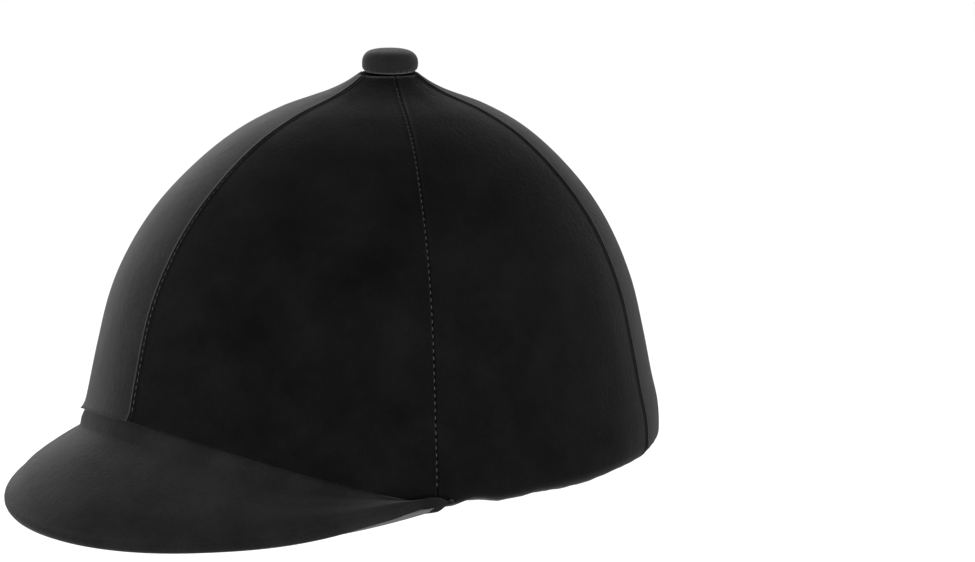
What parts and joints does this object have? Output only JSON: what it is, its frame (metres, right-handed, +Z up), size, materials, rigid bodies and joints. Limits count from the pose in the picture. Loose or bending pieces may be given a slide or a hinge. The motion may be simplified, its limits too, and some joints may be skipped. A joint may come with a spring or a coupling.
{
  "type": "equestrian riding helmet",
  "caption": "Skull-cap riding helmet in a fitted black velvet cover with a soft peak, covered top button, panel seams and a satin ribbon bow at the back.",
  "frame": {"origin": "centre of the head seat: on the rim plane, straight below the top button", "axes": "+Z up through the top button; the wearer looks along -Y, so the peak is at -Y; +X is the wearer's left"},
  "size_m": [0.2342, 0.318, 0.1922],
  "materials": {
    "velvet": "black stretch velvet with a short dense pile",
    "elastic": "woven black elastic",
    "satin": "black satin ribbon",
    "peak_board": "flexible moulded foam board",
    "button_plastic": "moulded plastic",
    "shell": "satin-gloss black moulded shell",
    "trim": "soft black edge beading",
    "liner_foam": "black expanded-bead foam",
    "padding": "brushed black jersey over foam",
    "webbing": "woven black nylon webbing",
    "fittings": "fine-textured black acetal",
    "rivet_metal": "plated steel"
  },
  "bodies": {
    "helmet": {"outer_shell": "shell", "shell_rim_trim": "trim", "impact_liner": "liner_foam", "crown_pad": "padding", "pad_front": "padding", "pad_left": "padding", "pad_right": "padding", "pad_rear": "padding", "anchor_straps": "webbing", "rivets": "rivet_metal", "rivet_washers": "rivet_metal"},
    "cover": {"panel_front_left": "velvet", "panel_front_right": "velvet", "panel_side_left": "velvet", "panel_side_right": "velvet", "panel_rear_left": "velvet", "panel_rear_right": "velvet", "peak_top_velvet": "velvet", "peak_under_velvet": "velvet", "peak_core": "peak_board", "button_velvet": "velvet", "button_core": "button_plastic", "hem_casing": "velvet", "hem_elastic": "elastic", "bow_tail_left": "satin", "bow_tail_right": "satin", "bow_loop_left": "satin", "bow_loop_right": "satin", "bow_knot": "satin"},
    "harness_left": {"strap_front_left": "webbing", "strap_rear_left": "webbing", "divider_left": "fittings"},
    "chin_left": {"chin_strap_left": "webbing", "buckle_male": "fittings"},
    "adjuster_left": {"adjuster": "fittings"},
    "harness_right": {"strap_front_right": "webbing", "strap_rear_right": "webbing", "divider_right": "fittings"},
    "chin_right": {"chin_strap_right": "webbing", "buckle_female": "fittings"},
    "keeper_right": {"strap_keeper": "fittings"}
  },
  "joints": [
    {"name": "cover_lift", "type": "slide", "parent": "helmet", "child": "cover", "axis": [0, 0, 1], "range_m": [0, 0.2], "deforming": ["hem_casing", "hem_elastic", "bow_knot", "bow_loop_left", "bow_loop_right"]},
    {"name": "harness_left_swing", "type": "hinge", "parent": "helmet", "child": "harness_left", "pos_m": [0.0795, -0.0095, 0.012], "axis": [0, -1, 0], "range_deg": [0, 160]},
    {"name": "chin_left_unfold", "type": "hinge", "parent": "harness_left", "child": "chin_left", "pos_m": [0.05762, -0.0095, 0.09106], "axis": [0, 1, 0], "range_deg": [0, 180]},
    {"name": "adjuster_slide", "type": "slide", "parent": "chin_left", "child": "adjuster_left", "axis": [0.2419, 0, -0.9703], "range_m": [-0.008, 0.006]},
    {"name": "harness_right_swing", "type": "hinge", "parent": "helmet", "child": "harness_right", "pos_m": [-0.0795, -0.0095, 0.012], "axis": [0, 1, 0], "range_deg": [0, 160]},
    {"name": "chin_right_unfold", "type": "hinge", "parent": "harness_right", "child": "chin_right", "pos_m": [-0.05762, -0.0095, 0.09106], "axis": [0, -1, 0], "range_deg": [0, 180]},
    {"name": "keeper_slide", "type": "slide", "parent": "chin_right", "child": "keeper_right", "axis": [-0.2419, 0, -0.9703], "range_m": [-0.008, 0.01]}
  ],
  "couplings": [
    {"joint": "chin_left_unfold", "follows": "harness_left_swing", "ratio": 1.125},
    {"joint": "chin_right_unfold", "follows": "harness_right_swing", "ratio": 1.125}
  ]
}
